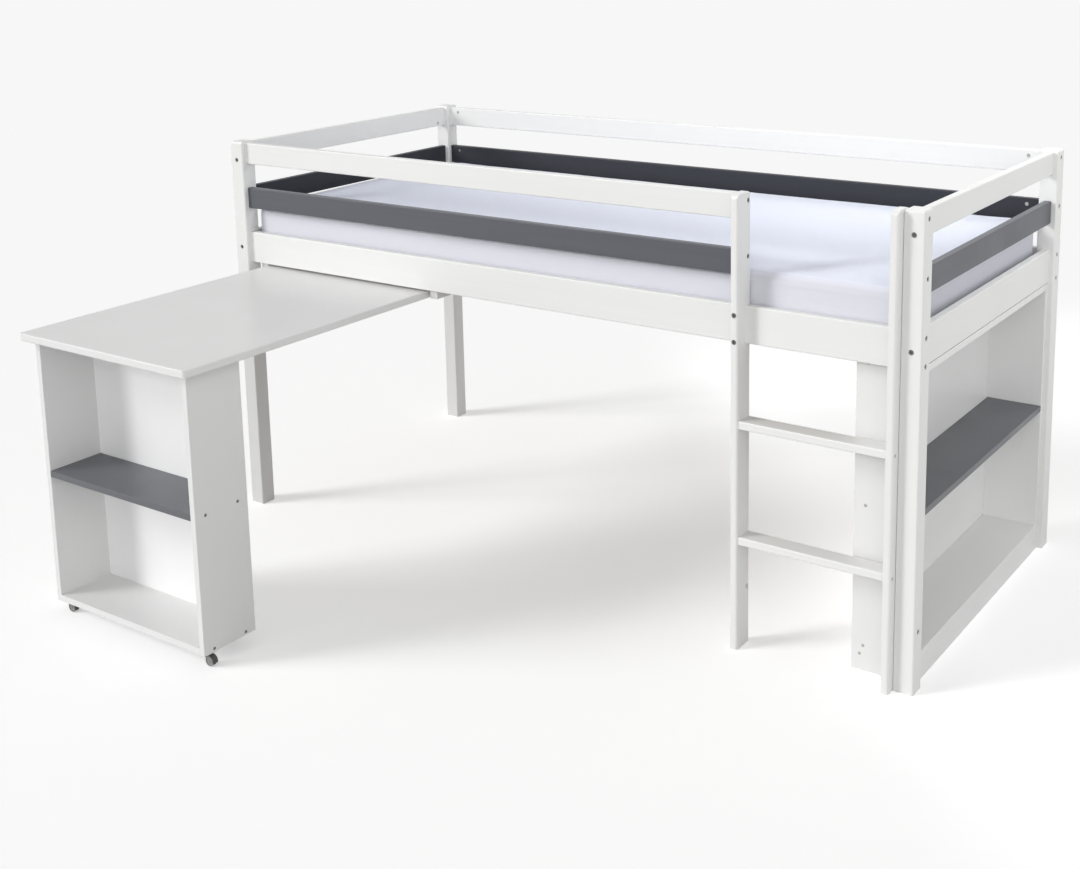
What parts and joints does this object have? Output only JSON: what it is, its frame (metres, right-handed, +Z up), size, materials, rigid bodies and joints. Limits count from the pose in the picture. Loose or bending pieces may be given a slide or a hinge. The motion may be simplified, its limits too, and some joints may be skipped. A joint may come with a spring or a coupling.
{
  "type": "cabin bed",
  "caption": "Raised bed with guard rails, a front ladder, an open bookcase under one end and a slide-out desk on castors under the other.",
  "frame": {"origin": "on the floor, under the centre of the whole object's outline with the desk pulled out as in the picture", "axes": "+X along the bed from the desk end to the bookcase end, +Y from the ladder's side to the back, +Z up"},
  "size_m": [2.1, 1.77, 1.1],
  "materials": {
    "white_timber": "white lacquered pine, satin",
    "white_board": "white laminated board, satin",
    "grey_lacquer": "dark grey lacquer, satin",
    "bare_pine": "planed, untreated",
    "bare_beech": "fluted, untreated",
    "mattress_cover": "white woven sheet, matt",
    "steel": "zinc plated",
    "castor_black": "moulded",
    "castor_grey": "moulded"
  },
  "bodies": {
    "bed": {"post_front_left": "white_timber", "post_front_right": "white_timber", "post_back_left": "white_timber", "post_back_right": "white_timber", "top_rail_front": "white_timber", "top_rail_back": "white_timber", "top_rail_left": "white_timber", "top_rail_right": "white_timber", "grey_rail_front": "grey_lacquer", "grey_rail_back": "grey_lacquer", "grey_rail_left": "grey_lacquer", "grey_rail_right": "grey_lacquer", "side_rail_front": "white_timber", "side_rail_back": "white_timber", "end_board_left": "white_timber", "end_board_right": "white_timber", "slat_ledgers": "white_timber", "slats": "bare_pine", "base_screws": "steel", "mattress": "mattress_cover", "ladder_stile_left": "white_timber", "ladder_stile_right": "white_timber", "ladder_tread_lower": "white_timber", "ladder_tread_upper": "white_timber", "ladder_screws": "steel", "frame_bolts": "steel", "barrel_nuts": "steel", "insert_nuts": "steel", "rail_dowels": "bare_beech", "bookcase_side_front": "white_board", "bookcase_side_back": "white_board", "bookcase_back_panel": "white_board", "bookcase_top": "white_board", "bookcase_shelf": "grey_lacquer", "bookcase_bottom": "white_board", "bookcase_plinths": "white_board", "bookcase_screws": "steel", "desk_runner_left": "white_timber", "desk_runner_right": "white_timber", "runner_screws": "steel"},
    "desk": {"desk_top": "white_board", "desk_side_left": "white_board", "desk_side_right": "white_board", "desk_back_panel": "white_board", "desk_shelf": "grey_lacquer", "desk_bottom": "white_board", "desk_guide_pins": "steel", "desk_dowels": "bare_beech", "desk_screws": "steel", "castor_plates": "steel", "castor_screws": "steel"},
    "castor_front_left": {"castor_body_front_left": "castor_black"},
    "wheels_front_left": {"castor_wheels_front_left": "castor_grey"},
    "castor_front_right": {"castor_body_front_right": "castor_black"},
    "wheels_front_right": {"castor_wheels_front_right": "castor_grey"},
    "castor_rear_left": {"castor_body_rear_left": "castor_black"},
    "wheels_rear_left": {"castor_wheels_rear_left": "castor_grey"},
    "castor_rear_right": {"castor_body_rear_right": "castor_black"},
    "wheels_rear_right": {"castor_wheels_rear_right": "castor_grey"}
  },
  "joints": [
    {"name": "desk_slide", "type": "slide", "parent": "bed", "child": "desk", "axis": [0, 1, 0], "range_m": [-0.01, 0.816]},
    {"name": "castor_swivel_front_left", "type": "hinge", "parent": "desk", "child": "castor_front_left", "pos_m": [-0.906, -0.836, 0.02], "axis": [0, 0, 1], "continuous": true},
    {"name": "castor_roll_front_left", "type": "hinge", "parent": "castor_front_left", "child": "wheels_front_left", "pos_m": [-0.894, -0.836, 0.0125], "axis": [0, 1, 0], "continuous": true},
    {"name": "castor_swivel_front_right", "type": "hinge", "parent": "desk", "child": "castor_front_right", "pos_m": [-0.394, -0.836, 0.02], "axis": [0, 0, 1], "continuous": true},
    {"name": "castor_roll_front_right", "type": "hinge", "parent": "castor_front_right", "child": "wheels_front_right", "pos_m": [-0.382, -0.836, 0.0125], "axis": [0, 1, 0], "continuous": true},
    {"name": "castor_swivel_rear_left", "type": "hinge", "parent": "desk", "child": "castor_rear_left", "pos_m": [-0.849, -0.733, 0.02], "axis": [0, 0, 1], "continuous": true},
    {"name": "castor_roll_rear_left", "type": "hinge", "parent": "castor_rear_left", "child": "wheels_rear_left", "pos_m": [-0.837, -0.733, 0.0125], "axis": [0, 1, 0], "continuous": true},
    {"name": "castor_swivel_rear_right", "type": "hinge", "parent": "desk", "child": "castor_rear_right", "pos_m": [-0.451, -0.733, 0.02], "axis": [0, 0, 1], "continuous": true},
    {"name": "castor_roll_rear_right", "type": "hinge", "parent": "castor_rear_right", "child": "wheels_rear_right", "pos_m": [-0.439, -0.733, 0.0125], "axis": [0, 1, 0], "continuous": true}
  ]
}
